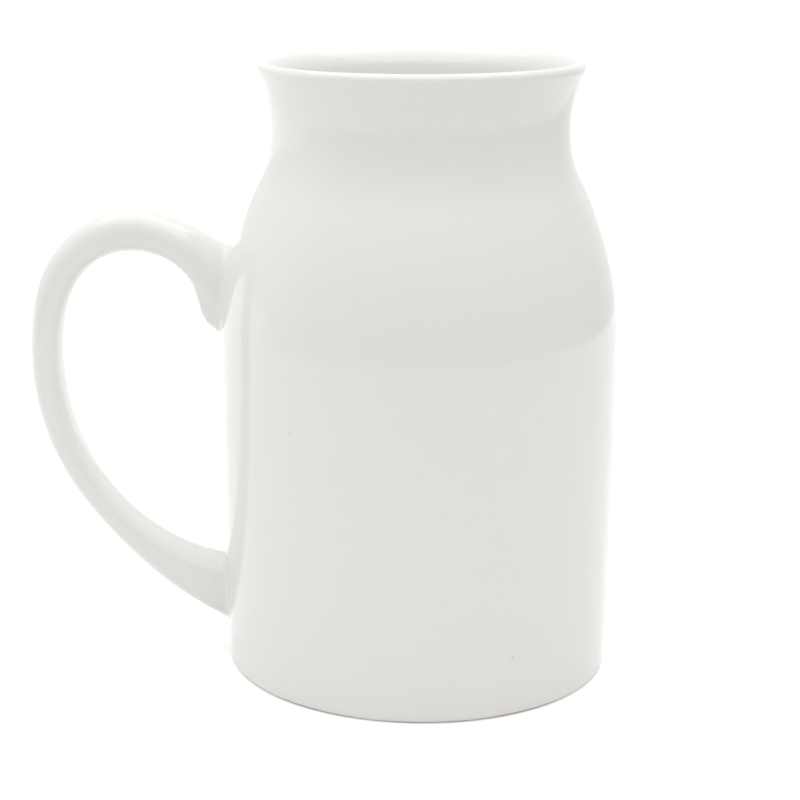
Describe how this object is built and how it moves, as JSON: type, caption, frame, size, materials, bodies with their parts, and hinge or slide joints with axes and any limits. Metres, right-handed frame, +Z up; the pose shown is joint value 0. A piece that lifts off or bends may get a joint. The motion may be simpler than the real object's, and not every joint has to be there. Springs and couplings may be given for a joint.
{
  "type": "ceramic milk jug",
  "caption": "White glazed ceramic milk jug: bottle-shaped body with round shoulder, waisted neck and flared round lip, a loop handle at the side, and a bare foot ring.",
  "frame": {"origin": "on the jug's axis, in the plane of the foot ring it stands on", "axes": "+Z up along the jug's axis, -X towards the handle, +Y completes a right-handed frame"},
  "size_m": [0.126, 0.0846, 0.13],
  "materials": {
    "glaze": "glossy white glaze"
  },
  "bodies": {
    "root": {"jug": "glaze"}
  },
  "joints": []
}
